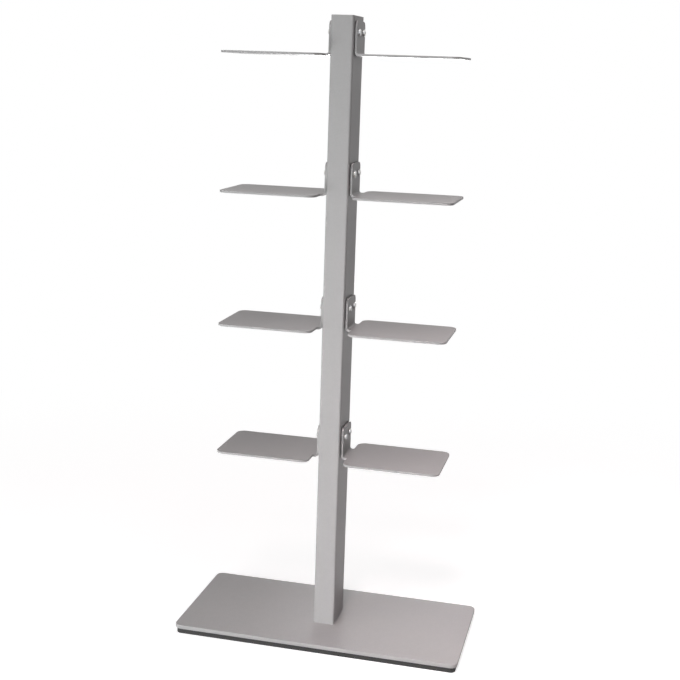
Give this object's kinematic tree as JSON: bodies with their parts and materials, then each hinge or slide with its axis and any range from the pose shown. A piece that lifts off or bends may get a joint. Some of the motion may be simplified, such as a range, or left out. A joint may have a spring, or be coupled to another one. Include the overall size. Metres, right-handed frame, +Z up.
{
  "type": "spine bookshelf",
  "caption": "Free-standing spine bookshelf: a slim rectangular steel post on a flat floor plate, with thin folded trays on both sides that carry piles of books laid flat.",
  "frame": {"origin": "on the floor, under the middle of the base plate and the post's axis", "axes": "+X to the right seen from the front, -Y to the front where the spines of the books face, +Z up"},
  "size_m": [0.425, 0.2, 0.9],
  "materials": {
    "silver_coat": "silver-grey powder coat, satin, fine grain",
    "black_rubber": "matte",
    "zinc_steel": "bright zinc plated",
    "bare_steel": "machined, lightly oiled"
  },
  "bodies": {
    "root": {"base_plate": "silver_coat", "base_mat": "black_rubber", "post": "silver_coat", "post_cap": "silver_coat", "post_foot": "bare_steel", "base_screws": "zinc_steel", "shelf_left_1": "silver_coat", "shelf_screws_left_1": "zinc_steel", "rivet_nuts_left_1": "zinc_steel", "shelf_left_2": "silver_coat", "shelf_screws_left_2": "zinc_steel", "rivet_nuts_left_2": "zinc_steel", "shelf_left_3": "silver_coat", "shelf_screws_left_3": "zinc_steel", "rivet_nuts_left_3": "zinc_steel", "shelf_left_4": "silver_coat", "shelf_screws_left_4": "zinc_steel", "rivet_nuts_left_4": "zinc_steel", "shelf_right_1": "silver_coat", "shelf_screws_right_1": "zinc_steel", "rivet_nuts_right_1": "zinc_steel", "shelf_right_2": "silver_coat", "shelf_screws_right_2": "zinc_steel", "rivet_nuts_right_2": "zinc_steel", "shelf_right_3": "silver_coat", "shelf_screws_right_3": "zinc_steel", "rivet_nuts_right_3": "zinc_steel", "shelf_right_4": "silver_coat", "shelf_screws_right_4": "zinc_steel", "rivet_nuts_right_4": "zinc_steel"}
  },
  "joints": []
}
